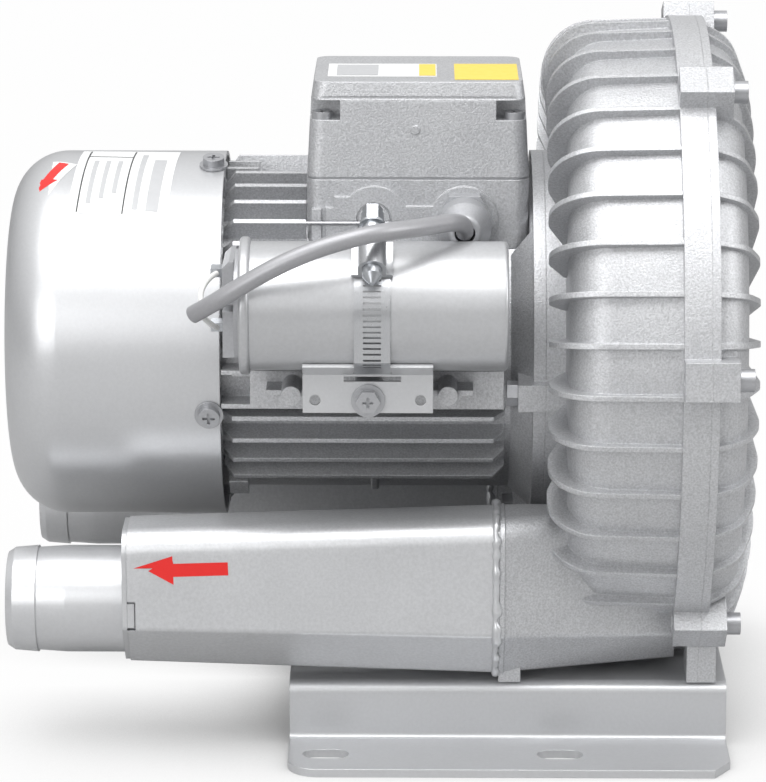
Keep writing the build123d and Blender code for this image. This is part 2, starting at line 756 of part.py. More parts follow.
def terminal_box_base():
    body = extrude(box_face(30, 0), box_split_z - 30)
    body = body + entry_pads()
    inside = extrude(box_face(20, box_wall), box_split_z)
    floor = rod(box_x0, box_x1, barrel_r + 3.0)
    posts = [pin_z(40, box_split_z, 4.6, x, y) for x, y in box_screw_places]
    body = body - (inside - floor - posts)
    body = body - rod(box_x0 - 1, box_x1 + 1, barrel_r)
    body = body - pin_z(40, 70, 6.0, -10, -10)
    body = body - pin_y(box_y0 - 2, box_y0 + box_wall + 2, gland_r, gland_x, gland_z)
    step = box_y0 - 1.0
    rings = pin_y(step - 1, step + 0.5, 6.3, knockout_x, gland_z) - pin_y(
        step - 2, step + 1, 5.7, knockout_x, gland_z)
    holes = [pin_z(box_split_z - 7, box_split_z + 1, 1.9, x, y) for x, y in box_screw_places]
    return body - rings - holes


box_screw_places = [(x, y) for x in (box_x0 + 5.4, box_x1 - 5.4) for y in (box_y0 + 5.4, box_y1 - 5.4)]
gasket_t = 0.8
screw_seat_z = 87.5


def lid_gasket():
    body = extrude(box_face(box_split_z, 0.4), gasket_t) - extrude(box_face(box_split_z - 1, box_wall), 4)
    posts = [pin_z(box_split_z, box_split_z + gasket_t, 4.6, x, y) for x, y in box_screw_places]
    holes = [pin_z(box_split_z - 1, box_split_z + 3, 2.2, x, y) for x, y in box_screw_places]
    return (body + posts) - holes


def terminal_box_lid():
    z0 = box_split_z + gasket_t
    shoulder = box_top_z - 7.0
    skirt = loft([box_face(z0, 0), box_face(shoulder, box_draft)])
    crown = loft([box_face(shoulder, box_draft), box_face(box_top_z, box_draft + 1.2)])
    body = skirt + crown
    steps = [
        block(box_x0 - 1, box_x1 + 1, box_y0 - 2, box_y0 + box_draft + 0.55, z, z + 0.9)
        for z in (box_top_z - 1.9, box_top_z - 4.0, box_top_z - 6.1)]
    notches = [
        block(x - 6.6, x + 6.6, y - 6.6, y + 6.6, screw_seat_z, box_top_z - 6.6) for x, y in box_screw_places]
    posts = [pin_z(z0, screw_seat_z, 4.6, x, y) for x, y in box_screw_places]
    cores = [block(x - 8, x + 8, y - 8, y + 8, screw_seat_z - 2, box_top_z - 5) for x, y in box_screw_places]
    inside = loft([box_face(z0 - 1, box_wall - 0.3), box_face(box_top_z - 3, box_draft + box_wall)])
    body = body - (inside - posts - cores)
    dimple = pin_y(box_y0 + 0.2, box_y0 + 1.6, 1.6, -10.5, 84.0)
    holes = [pin_z(z0 - 1, screw_seat_z + 1, 2.2, x, y) for x, y in box_screw_places]
    return body - steps - notches - holes + dimple


def lid_screws():
    head = pin_z(screw_seat_z, screw_seat_z + 2.6, 3.7, 0, 0)
    screw = head + pin_z(box_split_z - 6, screw_seat_z, 1.8, 0, 0)
    cross = block(-2.2, 2.2, -0.5, 0.5, screw_seat_z + 1.4, screw_seat_z + 4)
    screw = screw - [cross, Rot(Z=90) * cross]
    return [Pos(x, y, 0) * screw for x, y in box_screw_places]


def terminal_block():
    """The moulded block with six brass studs, on a rib in the box's floor."""
    z0 = barrel_r + 3.0
    body = block(-36, 8, -24, 2, z0, z0 + 9)
    ribs = [block(x - 0.8, x + 0.8, -24, 2, z0 + 9, z0 + 14) for x in (-36 + 0.8, -21.3, -6.7, 8 - 0.8)]
    holes = [pin_z(z0 + 2, z0 + 10, 2.0, x, y) for x, y in stud_places]
    return (body + ribs) - holes


stud_places = [(x, y) for x in (-28.6, -14.0, 0.6) for y in (-18, -4)]


def terminal_studs():
    z0 = barrel_r + 3.0
    nut = extrude(RegularPolygon(3.9, 6), 3)
    return [pin_z(z0 + 2, z0 + 17, 2.0, x, y) + Pos(x, y, z0 + 9) * nut for x, y in stud_places]


# Cable gland

def gland_body():
    """The gland's body: collar hexagon outside the wall and its thread through the wall."""
    y0 = box_y0 - 1.0
    thread = pin_y(y0, box_y0 + box_wall, gland_r - fit_gap, gland_x, gland_z)
    collar = Pos(gland_x, y0, gland_z) * Rot(X=90) * extrude(RegularPolygon(11.3, 6), 5.5)
    neck = pin_y(neck_y, y0 - 5, 7.4, gland_x, gland_z)
    bore = pin_y(y0 - 12, box_y0 + box_wall + 8, cord_d / 2 + 1.4, gland_x, gland_z)
    return (thread + collar + neck) - bore


def gland_nut():
    """The domed cap that squeezes the seal round the cord."""
    y0 = box_y0 - 1.0 - 5.5
    y1 = box_y0 - gland_out
    dome = Rot(Z=-90) * turned([
        (-y0, 0, 0), (-y0, 9.6, 0), (-y1 - 8, 9.6, 3), (-y1, cord_d / 2 + 2.6, 2), (-y1, 0, 0)])
    dome = Pos(gland_x, 0, gland_z) * dome
    room = pin_y(neck_y - 0.2, y0 + 1, 7.4 + fit_gap, gland_x, gland_z)
    seat = pin_y(neck_y - seal_length, y0, cord_d / 2 + 3.0 + fit_gap, gland_x, gland_z)
    mouth = pin_y(y1 - 1, y0, cord_d / 2 + 0.5, gland_x, gland_z)
    return dome - [room, seat, mouth]


neck_y = box_y0 - 11.0
seal_length = 6.0


def gland_seal():
    """The rubber ring that grips the cord."""
    body = pin_y(neck_y - seal_length, neck_y, cord_d / 2 + 3.0, gland_x, gland_z)
    return body - pin_y(neck_y - 7, neck_y + 1, cord_d / 2, gland_x, gland_z)


# Capacitor

def capacitor_can():
    body = turned([
        (can_x0 - rim_w, 0, 0), (can_x0 - rim_w, rim_r, 1.4), (can_x0, rim_r, 1.4), (can_x0, can_r, 0),
        (can_x1, can_r, 1.5), (can_x1, 0, 0)])
    return Pos(0, can_y, can_z) * body


def capacitor_cap():
    """The moulded end: a disc with two terminal blocks, each slotted for its blade."""
    disc_x0 = cap_x1 - 1.6
    disc = rod(disc_x0, cap_x1, cap_r)
    upper = chamfer(block(cap_x0, disc_x0, -13, 13, 3.2, 18.6).edges().filter_by(Axis.Y).sort_by(Axis.X)[:2], 2.4)
    lower = block(cap_x0, disc_x0, -12, 12, -16, 0.6)
    slots = [block(cap_x0 - 1, cap_x0 + 3, -3.4, 3.4, z - 0.4, z + 0.4) for z in terminal_zs]
    return Pos(0, can_y, can_z) * ((disc + upper + lower) - slots)


cap_x1 = can_x0 - rim_w
cap_x0 = cap_x1 - cap_w
terminal_zs = (12.5, -7.0)


def capacitor_terminals():
    """Two push-on blades standing out of the cap."""
    blades = [block(cap_x0 - 3.6, cap_x0 + 3, -3.2, 3.2, z - 0.35, z + 0.35) for z in terminal_zs]
    return [Pos(0, can_y, can_z) * blade for blade in blades]


def lead_connectors():
    """The push-on sleeves over the blades."""
    x1 = cap_x0 - 0.3
    sleeves = [
        block(x1 - 4.2, x1, -sleeve_half, sleeve_half, z - 1.5, z + 1.5)
        - block(x1 - 3.4, x1 + 1, -3.2, 3.2, z - 0.35, z + 0.35) for z in terminal_zs]
    return [Pos(0, can_y, can_z) * sleeve for sleeve in sleeves]


sleeve_half = 4.0

# The lip's tangent frame: lip_out points from the can's axis to the lip, lip_down along it to the plate
lip = math.radians(lip_angle)
lip_out = Vector(-math.cos(lip), math.sin(lip))
lip_down = Vector(-math.sin(lip), -math.cos(lip))
can_centre = Vector(can_y, can_z)
lip_near = can_r + 0.05
lip_far = lip_near + bracket_t
lip_touch = can_centre + lip_out * (lip_near + bracket_t / 2)
lip_run = (bracket_y + bracket_t / 2 - lip_touch.X) / lip_down.X
lip_bend = lip_touch + lip_down * lip_run
slot_z = lip_bend.Y - 1.9


def strap_region(x0, x1, radius, lift, drop):
    """Everything inside the strap: the can's circle and the flank that passes over the lip."""
    across = Vector(bracket_y + bracket_t + 0.6, slot_z - drop) - can_centre
    over = [
        Vector(lift, -2.0), Vector(lift, lip_run + 0.4 + drop / 2),
        Vector(across.dot(lip_out), across.dot(lip_down))]
    angles = []
    for corner, sense in ((over[0], -1), (over[2], 1)):
        direction = math.atan2(corner.Y, corner.X)
        angles.append(direction + sense * math.acos(radius / corner.length))
    ends = [Vector(radius * math.cos(a), radius * math.sin(a)) for a in angles]
    plane = Plane(origin=(x0, can_y, can_z), x_dir=(0, lip_out.X, lip_out.Y), z_dir=(-1, 0, 0))
    flank = plane * make_face(Polyline((0, 0), ends[0], *over, ends[1], close=True))
    return extrude(flank, amount=x1 - x0, dir=(1, 0, 0)) + rod(x0, x1, radius, can_y, can_z)


def clamp_band():
    """Worm-drive band round the can and the bracket's lip, passing through the bracket's slot."""
    x0 = band_x - band_w / 2
    x1 = band_x + band_w / 2
    hoop = strap_region(x0, x1, band_r + band_t, lip_far + band_t, band_t)
    hoop = hoop - strap_region(x0 - 1, x1 + 1, band_r, lip_far + 0.02, 0)
    notches = [
        Rot(X=angle) * block(band_x - 3.1, band_x + 3.1, -0.35, 0.35, band_r - 1, band_r + 3.5)
        for angle in range(50, 140, 5)]
    return hoop - [Pos(0, can_y, can_z) * notch for notch in notches]


band_r = can_r + 0.1


def on_clamp(solid):
    """Places a piece drawn at the clamp's top, tangent along Y, at the screw's angle."""
    return Pos(band_x, can_y, can_z) * Rot(X=RIGHT_ANGLE - screw_angle) * solid


screw_lift = 5.0
barrel_y0 = -4.5
barrel_y1 = 9.5


def clamp_housing():
    """The saddle on the band with the half-round barrel that holds the worm."""
    z0 = band_r + band_t
    axis_z = z0 + screw_lift
    barrel = pin_y(barrel_y0, barrel_y1, 4.9, 0, axis_z)
    cheeks = block(-4.9, 4.9, barrel_y0, barrel_y1, z0 + 0.6, axis_z)
    saddle = block(-band_w / 2 - 0.8, band_w / 2 + 0.8, barrel_y0, barrel_y1, z0, z0 + 1.6)
    bore = pin_y(barrel_y0 - 1, barrel_y1 + 1, 3.5, 0, axis_z)
    room = rod(-9, 9, z0 + 0.02)
    return on_clamp((barrel + cheeks + saddle) - room - bore)


def clamp_screw():
    """Worm with a pointed tip, a collar and a slotted hexagon head."""
    z = band_r + band_t + screw_lift
    worm = pin_y(barrel_y0 - 3, 14, 3.4, 0, z)
    cone = Cone(3.4, 0.9, 3.2, align=(Align.CENTER, Align.CENTER, Align.MIN))
    tip = Pos(0, barrel_y0 - 3, z) * Rot(X=90) * cone
    collar = pin_y(14, 15, 4.5, 0, z)
    head = Pos(0, 21, z) * Rot(X=90) * extrude(RegularPolygon(3.9, 6), 6)
    slot = block(-4, 4, 19.6, 22, z - 0.6, z + 0.6)
    return on_clamp((worm + tip + collar + head) - slot)


def capacitor_bracket():
    """A bent strip: a flat plate on the pedestal, and a lip that cradles the can."""
    half = bracket_t / 2
    tip = lip_touch - lip_down * 2.0
    plate = block(bracket_x0, bracket_x1, bracket_y, bracket_y + bracket_t, bracket_z0, lip_bend.Y)
    side = lip_out * half
    face = Plane.YZ.offset(bracket_x0) * make_face(Polyline(
        tip + side, tip - side, lip_bend - side, lip_bend + side, close=True))
    cradle = extrude(face, amount=bracket_x1 - bracket_x0, dir=(1, 0, 0))
    elbow = rod(bracket_x0, bracket_x1, half, lip_bend.X, lip_bend.Y)
    slot = block(band_x - 10, band_x + 10, bracket_y - 1, bracket_y + 3, slot_z - 0.9, slot_z + 0.9)
    strap = strap_region(band_x - 6.6, band_x + 6.6, band_r + band_t + 0.1, lip_far + band_t + 0.1, band_t + 0.1)
    strap = strap - strap_region(band_x - 8, band_x + 8, band_r, lip_far, 0)
    holes = [pin_y(bracket_y - 1, bracket_y + 3, 1.9, x, bracket_screw_z)
             for x in (bracket_x0 + 4.4, bracket_x1 - 4.4)]
    holes.append(pin_y(bracket_y - 1, bracket_y + 3, 2.4, bracket_screw_x, bracket_screw_z))
    return (plate + elbow + cradle) - slot - strap - holes


def bracket_screw():
    washer = pin_y(bracket_y - 1.0, bracket_y, 5.9, 0, 0)
    hexagon = Pos(0, bracket_y - 1.0, 0) * Rot(X=90) * extrude(RegularPolygon(4.4, 6), 3)
    shank = pin_y(bracket_y, -rail_y + 3, 2.0, 0, 0)
    cross = block(-1.9, 1.9, bracket_y - 5, bracket_y - 2.6, -0.45, 0.45)
    crosses = [cross, Rot(Y=90) * cross]
    return Pos(bracket_screw_x, 0, bracket_screw_z) * ((washer + hexagon + shank) - crosses)


# Cord from the gland to the capacitor, and the two leads that leave it near its end

cord_route = [
    (gland_x, neck_y - 3.5, gland_z), (gland_x, -66.0, gland_z), (gland_x - 0.4, -76.2, 57.3),
    (3.0, -84.8, 60.0), (-2.8, -91.5, 60.4), (-9.6, -99.0, 60.9), (-17.2, -106.0, 61.4),
    (-25.6, -111.0, 61.3), (-34.9, -114.0, 59.5), (-44.2, -115.2, 56.8), (-53.8, -115.6, 52.9),
    (-63.2, -115.4, 48.0), (-72.4, -114.2, 42.2), (-80.4, -111.6, 36.6), (-87.4, -107.2, 31.8),
]
upper_lead_route = [
    (-84.4, -106.4, 35.6), (-85.0, -101.6, 37.4), (-84.2, -96.9, 39.6), (-82.2, -93.0, 41.6),
    (-79.8, can_y - sleeve_half, can_z + terminal_zs[0]),
]
lower_lead_route = [
    (-84.8, -106.2, 32.6), (-84.6, -101.6, 30.2), (-83.2, -97.2, 27.4), (-81.4, -93.4, 24.8),
    (-79.8, can_y - sleeve_half, can_z + terminal_zs[1]),
]


def tube(points, diameter, name):
    """A round tube along straight runs joined by the largest tangent arcs they allow."""
    places = [Vector(*point) for point in points]
    radii = []
    for before, here, after in zip(places, places[1:], places[2:]):
        turn = (here - before).get_angle(after - here)
        run = min((here - before).length, (after - here).length)
        radii.append(0.45 * run / math.tan(math.radians(turn) / 2))
    path = FilletPolyline(*places, radius=radii)
    section = Plane(origin=path @ 0, z_dir=path % 0) * Circle(diameter / 2)
    solid = sweep(section, path=path)
    expected = math.pi * diameter ** 2 / 4 * path.length
    print(name, "length", round(path.length, 1), "radii", [round(r, 1) for r in radii],
          "volume ratio", round(solid.volume / expected, 4))
    return solid


# Silencers and spigots

def silencer_shell(side):
    outer = loft([port_face(left_section, 0, silencer_x0, side), port_face(right_section, 0, silencer_x1, side)])
    inner = loft([port_face(left_section, sheet_t, silencer_x0, side),
                  port_face(right_section, sheet_t, silencer_x1, side)])
    notch = block(silencer_x0 - 1, silencer_x0 + 3, -200, 200, port_z - 5, port_z + 6)
    far = block(-300, 300, -port_y, port_y, -300, 300)
    return outer - inner - (notch - far)


def hose_spigot(side):
    """A barbed spigot on the plate that closes the silencer's end."""
    y = side * port_y
    plate_x0 = silencer_x0 - plate_rim
    plate = straight_duct(plate_x0, silencer_x0, left_section, 0.6, side)
    plug = straight_duct(silencer_x0, silencer_x0 + 4, left_section, sheet_t + fit_gap, side)
    hook_y0, hook_y1 = sorted((side * (port_y + 23.2), side * (port_y + 18)))
    hook = block(plate_x0, silencer_x0 + 2.6, hook_y0, hook_y1, port_z - 4, port_z + 5)
    low_r = spigot_r - barb_step
    barrel = turned([
        (spigot_x0, 0, 0), (spigot_x0, low_r - 1.6, 0), (spigot_x0 + 2.5, low_r, 0), (barb_xs[0], spigot_r, 0),
        (barb_xs[0], low_r, 0), (barb_xs[1], spigot_r, 0), (silencer_x0, spigot_r, 0),
        (silencer_x0, spigot_bore_r + 2, 0), (silencer_x0 + 20, spigot_bore_r + 2, 0), (silencer_x0 + 20, 0, 0)])
    body = plate + plug + hook + Pos(0, y, port_z) * barrel
    return body - rod(spigot_x0 - 1, silencer_x0 + 21, spigot_bore_r, y, port_z)


def silencer_foam(side):
    """Foam sleeve that lines the silencer round its air passage."""
    inset = sheet_t + 0.3
    y = side * port_y
    x0 = silencer_x0 + 4.3
    x1 = silencer_x1 - 0.5
    body = loft([port_face(left_section, inset, x0, side), port_face(right_section, inset, x1, side)])
    return body - rod(x0 - 1, x1 + 1, foam_r, y, port_z)


# Base plate

def base_plate():
    """A hat section bent from one sheet, with slotted feet."""
    low = -shaft_height
    half = [
        (0, base_top_z, 0), (web_y, base_top_z, 4.5), (web_y, low + base_t, 2.0), (base_half_y, low + base_t, 0),
        (base_half_y, low, 0), (web_y - base_t, low, 4.5), (web_y - base_t, base_top_z - base_t, 2.0),
        (0, base_top_z - base_t, 0)]
    plane = Plane(origin=(base_x0, 0, 0), x_dir=(0, 1, 0), z_dir=(1, 0, 0))
    right = extrude(outline(half, plane), amount=base_x1 - base_x0, dir=(1, 0, 0))
    body = right + mirror(right, Plane.XZ)
    plan = outline([
        (base_x0, -base_half_y, 11), (base_x1 - 6, -base_half_y, 0), (base_x1, -base_half_y + 10, 0),
        (base_x1, base_half_y - 10, 0), (base_x1 - 6, base_half_y, 0), (base_x0, base_half_y, 11),
    ], Plane.XY.offset(low - 1))
    body = body & extrude(plan, 60)
    slots = []
    for x in (-slot_pitch_x / 2, slot_pitch_x / 2):
        for y in (-slot_pitch_y / 2, slot_pitch_y / 2):
            shape = Plane.XY.offset(low - 1) * Pos(x, y) * SlotOverall(slot_length, slot_w)
            slots.append(extrude(shape, base_t + 2))
    holes = [pin_z(base_top_z - base_t - 1, base_top_z + 1, 2.8, x, y) for x, y in foot_screws]
    return body - slots - holes


def base_screws():
    z = base_top_z - base_t
    return [
        pin_z(z - 3.5, z, 4.6, x, y) + pin_z(z, z + 10, 2.5, x, y) for x, y in foot_screws]


def build_all():
    os.makedirs("parts", exist_ok=True)
    washer, bolt = impeller_fixings()
    save("blower_housing", blower_housing())
    save("blower_cover", blower_cover())
    save("cover_bolts", *cover_bolts())
    save("impeller", impeller())
    save("impeller_key", impeller_key())
    save("impeller_washer", washer)
    save("impeller_bolt", bolt)
    save("impeller_shim", impeller_shim())
    save("shaft_seal", shaft_seal())
    save("motor_shaft", motor_shaft())
    save("rotor_core", rotor_core())
    save("rotor_end_rings", *rotor_end_rings())
    save("stator_core", stator_core())
    save("stator_windings", *stator_windings())
    save("motor_housing", motor_housing())
    save("motor_bolts", *motor_bolts())
    save("rear_end_shield", rear_end_shield())
    save("rear_shield_screws", *rear_shield_screws())
    for name, x0 in (("front", front_bearing_x), ("rear", rear_bearing_x)):
        save(f"{name}_bearing_outer_ring", outer_ring(x0))
        save(f"{name}_bearing_inner_ring", inner_ring(x0))
        save(f"{name}_bearing_balls", *balls(x0))
        save(f"{name}_bearing_cage", cage(x0))
    save("wave_washer", wave_washer())
    save("cooling_fan", cooling_fan())
    save("fan_circlip", fan_circlip())
    save("fan_cowl", fan_cowl())
    save("cowl_screws", *cowl_screws())
    save("terminal_box_base", terminal_box_base())
    save("lid_gasket", lid_gasket())
    save("terminal_box_lid", terminal_box_lid())
    save("lid_screws", *lid_screws())
    save("terminal_block", terminal_block())
    save("terminal_studs", *terminal_studs())
    save("gland_body", gland_body())
    save("gland_nut", gland_nut())
    save("gland_seal", gland_seal())
    save("capacitor_can", capacitor_can())
    save("capacitor_cap", capacitor_cap())
    save("capacitor_terminals", *capacitor_terminals())
    save("lead_connectors", *lead_connectors())
    save("clamp_band", clamp_band())
    save("clamp_housing", clamp_housing())
    save("clamp_screw", clamp_screw())
    save("capacitor_bracket", capacitor_bracket())
    save("bracket_screw", bracket_screw())
    save("capacitor_cord", tube(cord_route, cord_d, "capacitor_cord"))
    save("upper_lead", tube(upper_lead_route, lead_d, "upper_lead"))
    save("lower_lead", tube(lower_lead_route, lead_d, "lower_lead"))
    save("outlet_silencer_shell", silencer_shell(-1))
    save("inlet_silencer_shell", silencer_shell(1))
    save("outlet_spigot", hose_spigot(-1))
    save("inlet_spigot", hose_spigot(1))
    save("silencer_foam", silencer_foam(-1), silencer_foam(1))
    save("base_plate", base_plate())
    save("base_screws", *base_screws())


build_all()
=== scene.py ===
import json
import math

import bmesh
import bpy
from bpy.props import FloatProperty, FloatVectorProperty, IntProperty, PointerProperty
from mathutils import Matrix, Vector

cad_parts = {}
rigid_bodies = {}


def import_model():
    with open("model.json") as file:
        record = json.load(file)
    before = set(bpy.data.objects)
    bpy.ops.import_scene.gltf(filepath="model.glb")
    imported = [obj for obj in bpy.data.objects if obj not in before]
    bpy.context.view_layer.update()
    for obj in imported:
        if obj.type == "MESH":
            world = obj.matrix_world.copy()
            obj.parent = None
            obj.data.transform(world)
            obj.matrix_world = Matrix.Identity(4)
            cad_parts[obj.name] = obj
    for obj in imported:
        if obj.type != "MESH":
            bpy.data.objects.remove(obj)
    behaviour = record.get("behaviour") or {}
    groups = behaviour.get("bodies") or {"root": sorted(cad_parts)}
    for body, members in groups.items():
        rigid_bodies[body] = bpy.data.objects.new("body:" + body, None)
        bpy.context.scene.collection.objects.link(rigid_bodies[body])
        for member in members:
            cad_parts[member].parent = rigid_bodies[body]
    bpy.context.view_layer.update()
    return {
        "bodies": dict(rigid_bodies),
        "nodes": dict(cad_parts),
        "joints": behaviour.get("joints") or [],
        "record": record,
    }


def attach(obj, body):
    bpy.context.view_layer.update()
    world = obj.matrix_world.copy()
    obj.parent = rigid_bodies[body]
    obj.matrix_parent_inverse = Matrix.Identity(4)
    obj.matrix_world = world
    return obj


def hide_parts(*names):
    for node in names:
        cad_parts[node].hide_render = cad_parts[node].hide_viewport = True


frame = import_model()

bl_info = {
    "name": "Side channel blower dressing",
    "version": (1, 0, 0),
    "blender": (4, 5, 0),
    "location": "View3D > Sidebar > Blower",
    "description": "Paints and dresses a silver side channel blower, its cord, labels and joint sealant",
    "category": "Object",
}

MM = 0.001
SHAFT_HEIGHT = 135.5
COWL_RADIUS = 67.5
COWL_CORNER = 20.0
COWL_FLAT_X = -138.3
PORT_Y = 69.0
PORT_Z = 52.75
JOINT_X = 20.0
SILENCER_X0 = -112.8
SILENCER_SIDE = 24.0
CAMERA_PLACE = (-0.010087, -1.5, 0.495253)
CAMERA_TURN = (75.69829, -0.038863, 0.478448)
CAMERA_LENS = 194.277
FLOOR_HALF = 4.0

# The joint's outline about the port's centre, in millimetres, and the sealant's corner radius in metres
JOINT_OUTLINE = [(25.2, 35.8), (25.2, -6.4), (8.1, -25.6), (-16, -25.6), (-25.2, -13.5), (-25.2, 18.6),
                 (-2.0, 35.8)]
JOINT_CORNER = 0.006

# Places of the labels, in millimetres: along the shaft, then up the side or round the cowl
FLOW_PLACE = (-90.8, 70.8)
FLOW_HEADING = (-1, -0.035)
TURNING_PLACE = (-143.2, 84.0)
TURNING_HEADING = (-9.0, -20.0)
RATING_PLACE = (-116.5, 86.0)
RATING_SLANT = (1.0, -0.06)
LID_TOP_Z = 236.7
LABEL_THICKNESS = 0.06

# The turning label and its arrow, in millimetres: spans along and across; length, width, shaft and head
TURNING_LABEL = (-11, 17, -7.2, 4.8)
TURNING_ARROW = (20, 8.0, 4.0, 7.6)

# Steps that a label is cut in to follow its surface, in millimetres
BENT_STEP = 1.5
RATING_STEP = 3.0
FLAT_STEP = 20

# Fields of the rating label and of the lid's labels, in millimetres: span along the shaft, span round
# the cowl or across the lid, layer over the surface, and print
RATING_FIELDS = [
    ("rating_label", (-134.5, -98.5), (61.0, 110.0), 1, "white"),
    ("rating_rule_132", (-131.5, -131.0), (61.5, 108.0), 2, "ink"),
    ("rating_rule_115", (-115.0, -114.5), (61.5, 108.0), 2, "ink"),
    ("rating_rule_top", (-131.0, -115.0), (99.5, 99.9), 2, "ink"),
    ("rating_field_0", (-128.5, -126.8), (66.0, 95.0), 2, "pale"),
    ("rating_field_1", (-124.1, -122.4), (69.0, 95.0), 2, "pale"),
    ("rating_field_2", (-119.7, -118.0), (72.0, 95.0), 2, "pale"),
    ("rating_field_wide", (-111.5, -109.5), (64.0, 103.0), 2, "pale"),
    ("rating_panel", (-106.5, -102.0), (63.5, 97.0), 2, "pale"),
]
LID_FIELDS = [
    ("lid_label_white", (-42.2, -2.8), (-27.0, 0.0), 1, "white"),
    ("lid_label_panel", (-39.0, -24.0), (-24.5, -3.0), 2, "pale"),
    ("lid_label_square", (-9.2, -3.2), (-25.4, -1.4), 2, "yellow"),
    ("lid_label_yellow", (3.6, 26.6), (-33.0, 0.2), 1, "yellow"),
]

# The sealant's outline is walked in steps of this many metres, and this is its lumps' noise scale
SEALANT_STEP = 0.0012
LUMP_SCALE = 210.0

# Softboxes: name, setting and share of it, size, and place, in metres. All aim at the blower's middle.
SOFTBOXES = [
    ("overhead_softbox", "key", 1.0, (1.6, 1.2), (-0.15, -0.45, 1.5)),
    ("front_softbox", "fill", 1.0, (1.2, 0.8), (-0.9, -1.6, 0.7)),
    ("right_softbox", "fill", 0.7, (0.8, 0.8), (1.4, -0.5, 0.8)),
]
LIGHT_AIM = (0, 0, 0.12)

# The cord's route: out of the gland, up over the capacitor's shoulder, along its front and down past
# its rim. These are the same points as in the part, in millimetres.
CORD_ROUTE = [
    (7.2, -54.5, 186.9), (7.2, -66.0, 186.9), (6.8, -76.2, 192.8), (3.0, -84.8, 195.5),
    (-2.8, -91.5, 195.9), (-9.6, -99.0, 196.4), (-17.2, -106.0, 196.9), (-25.6, -111.0, 196.8),
    (-34.9, -114.0, 195.0), (-44.2, -115.2, 192.3), (-53.8, -115.6, 188.4), (-63.2, -115.4, 183.5),
    (-72.4, -114.2, 177.7), (-80.4, -111.6, 172.1), (-87.4, -107.2, 167.3),
]


def linear(hex_colour):
    """An sRGB hex colour as linear RGBA."""
    values = []
    for start in (0, 2, 4):
        value = int(hex_colour[start:start + 2], 16) / 255
        values.append(value / 12.92 if value <= 0.04045 else ((value + 0.055) / 1.055) ** 2.4)
    return (*values, 1.0)


def add(tree, kind, links=None, **settings):
    """Adds a node; links gives each input, by name or number, its value or the socket that feeds it."""
    node = tree.nodes.new(kind)
    for name, value in settings.items():
        setattr(node, name, value)
    for name, value in (links or {}).items():
        if isinstance(value, bpy.types.NodeSocket):
            tree.links.new(value, node.inputs[name])
        else:
            node.inputs[name].default_value = value
    return node


# Finishes

def painted(name, colour, shade, metallic, roughness, grain_mm, grain_height_mm, pit_shade, edge_mm):
    """Silver paint over metal: flake colour drift, grain of the metal below with painted shade darkening the
    colour in the grain's pits, and softened edges.
    """
    material = bpy.data.materials.new(name)
    material.use_nodes = True
    tree = material.node_tree
    shader = tree.nodes["Principled BSDF"]
    where = add(tree, "ShaderNodeTexCoord").outputs["Object"]
    drift = add(tree, "ShaderNodeTexNoise", {"Vector": where, "Scale": 45.0, "Detail": 4.0})
    mixed = add(tree, "ShaderNodeMix", {
        "Factor": drift.outputs["Fac"], "A": linear(colour), "B": linear(shade)}, data_type="RGBA")
    grain = add(tree, "ShaderNodeTexNoise", {
        "Vector": where, "Scale": 1 / (grain_mm * MM), "Detail": 3.0, "Roughness": 0.6})
    # Painted shade: the colour is darkened where the grain noise, which also drives the bump, is low, so the
    # pits of the skin look shaded
    level = add(tree, "ShaderNodeMapRange", {
        "Value": grain.outputs["Fac"], "From Min": 0.35, "From Max": 0.65,
        "To Min": 1 - pit_shade, "To Max": 1.0})
    pit_shaded = add(tree, "ShaderNodeMix", {
        "Factor": 1.0, "A": mixed.outputs["Result"], "B": level.outputs["Result"]},
        data_type="RGBA", blend_type="MULTIPLY")
    swell = add(tree, "ShaderNodeTexNoise", {"Vector": where, "Scale": 100.0, "Detail": 1.0})
    dull = add(tree, "ShaderNodeMapRange", {
        "Value": swell.outputs["Fac"], "To Min": roughness - 0.03, "To Max": roughness + 0.03})
    soft = add(tree, "ShaderNodeBevel", {"Radius": edge_mm * MM}, samples=4)
    relief = add(tree, "ShaderNodeBump", {
        "Height": grain.outputs["Fac"], "Distance": grain_height_mm * MM, "Strength": 1.0,
        "Normal": soft.outputs["Normal"]})
    shader.inputs["Metallic"].default_value = metallic
    tree.links.new(pit_shaded.outputs["Result"], shader.inputs["Base Color"])
    tree.links.new(dull.outputs["Result"], shader.inputs["Roughness"])
    tree.links.new(relief.outputs["Normal"], shader.inputs["Normal"])
    return material


def plain(name, colour, shade, metallic, roughness, grain_mm, grain_height_mm, stretch=(1, 1, 1)):
    """A bare finish: colour drift, and a grain that a stretch turns into brush or turning marks."""
    material = bpy.data.materials.new(name)
    material.use_nodes = True
    tree = material.node_tree
    shader = tree.nodes["Principled BSDF"]
    where = add(tree, "ShaderNodeTexCoord").outputs["Object"]
    stretched = add(tree, "ShaderNodeMapping", {"Vector": where, "Scale": stretch})
    grain = add(tree, "ShaderNodeTexNoise", {
        "Vector": stretched.outputs["Vector"], "Scale": 1 / (grain_mm * MM), "Detail": 3.0})
    mixed = add(tree, "ShaderNodeMix", {
        "Factor": grain.outputs["Fac"], "A": linear(colour), "B": linear(shade)}, data_type="RGBA")
    dull = add(tree, "ShaderNodeMapRange", {
        "Value": grain.outputs["Fac"], "To Min": roughness - 0.07, "To Max": roughness + 0.07})
    relief = add(tree, "ShaderNodeBump", {
        "Height": grain.outputs["Fac"], "Distance": grain_height_mm * MM, "Strength": 1.0})
    shader.inputs["Metallic"].default_value = metallic
    tree.links.new(mixed.outputs["Result"], shader.inputs["Base Color"])
    tree.links.new(dull.outputs["Result"], shader.inputs["Roughness"])
    tree.links.new(relief.outputs["Normal"], shader.inputs["Normal"])
    return material


